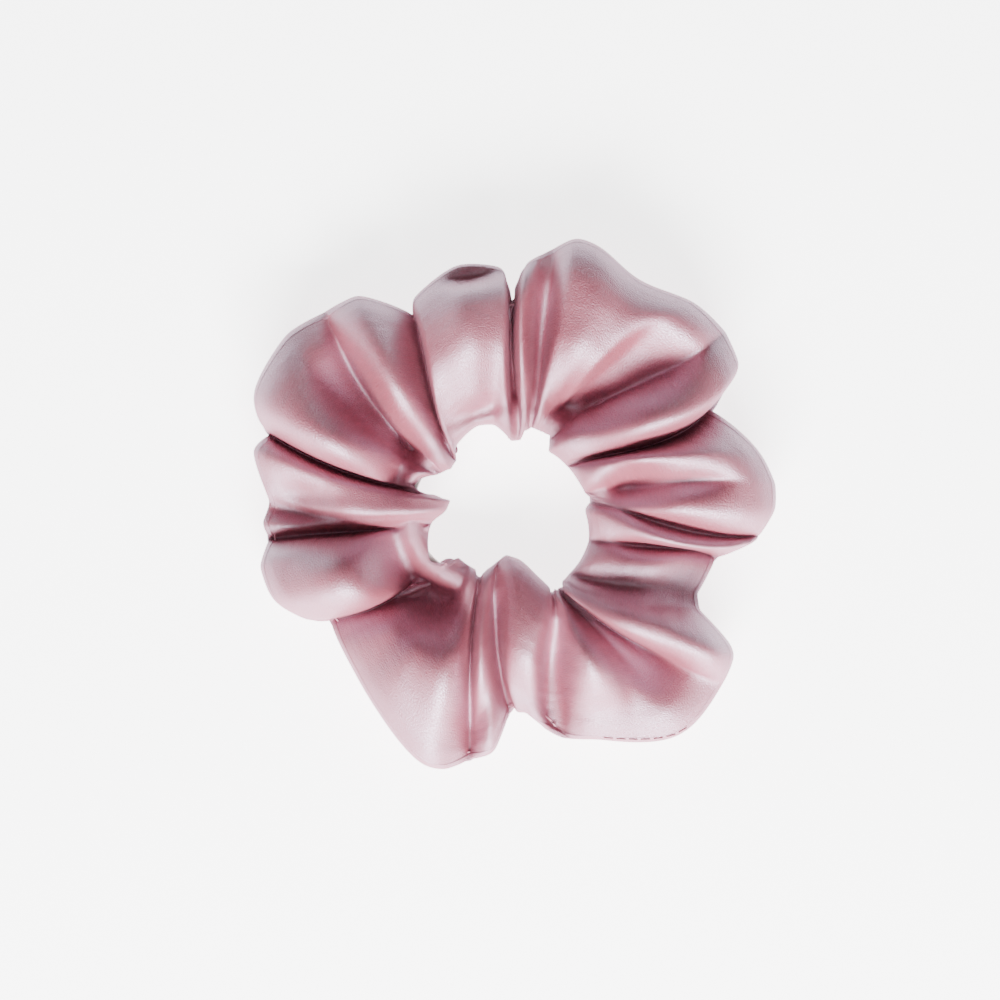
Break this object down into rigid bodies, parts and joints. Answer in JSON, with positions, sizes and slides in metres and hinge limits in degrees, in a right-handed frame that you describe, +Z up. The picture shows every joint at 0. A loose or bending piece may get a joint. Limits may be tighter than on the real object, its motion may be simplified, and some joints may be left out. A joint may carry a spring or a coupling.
{
  "type": "hair scrunchie",
  "caption": "Gathered satin tube sewn round a loop of flat elastic, lying flat; it stretches open to hold hair in a ponytail or bun, or to sit on a wrist.",
  "frame": {"origin": "centre of the hole, on the surface that the scrunchie lies on", "axes": "+Z up, out of the surface and along the hole; +X and +Y lie in the surface, and +X is the way the loop is pulled open; the closing topstitch is in the quarter of +X and -Y"},
  "size_m": [0.1125, 0.1131, 0.028],
  "materials": {
    "satin": "glossy woven polyester satin, pale pink, silky highlights along the folds",
    "thread": "pink polyester sewing thread",
    "elastic": "white braided flat elastic, matte",
    "elastic_thread": "white polyester sewing thread"
  },
  "bodies": {
    "left_half": {"satin_cover_left": "satin", "long_seam_stitches_left": "thread", "cross_seam_stitches": "thread", "elastic_band": "elastic", "elastic_join_stitches": "elastic_thread"},
    "right_half": {"satin_cover_right": "satin", "long_seam_stitches_right": "thread", "closing_topstitch": "thread"}
  },
  "joints": [
    {"name": "stretch", "type": "slide", "parent": "left_half", "child": "right_half", "axis": [1, 0, 0], "range_m": [0, 0.07], "stiffness_N_per_m": 80, "deforming": ["elastic_band"]}
  ]
}
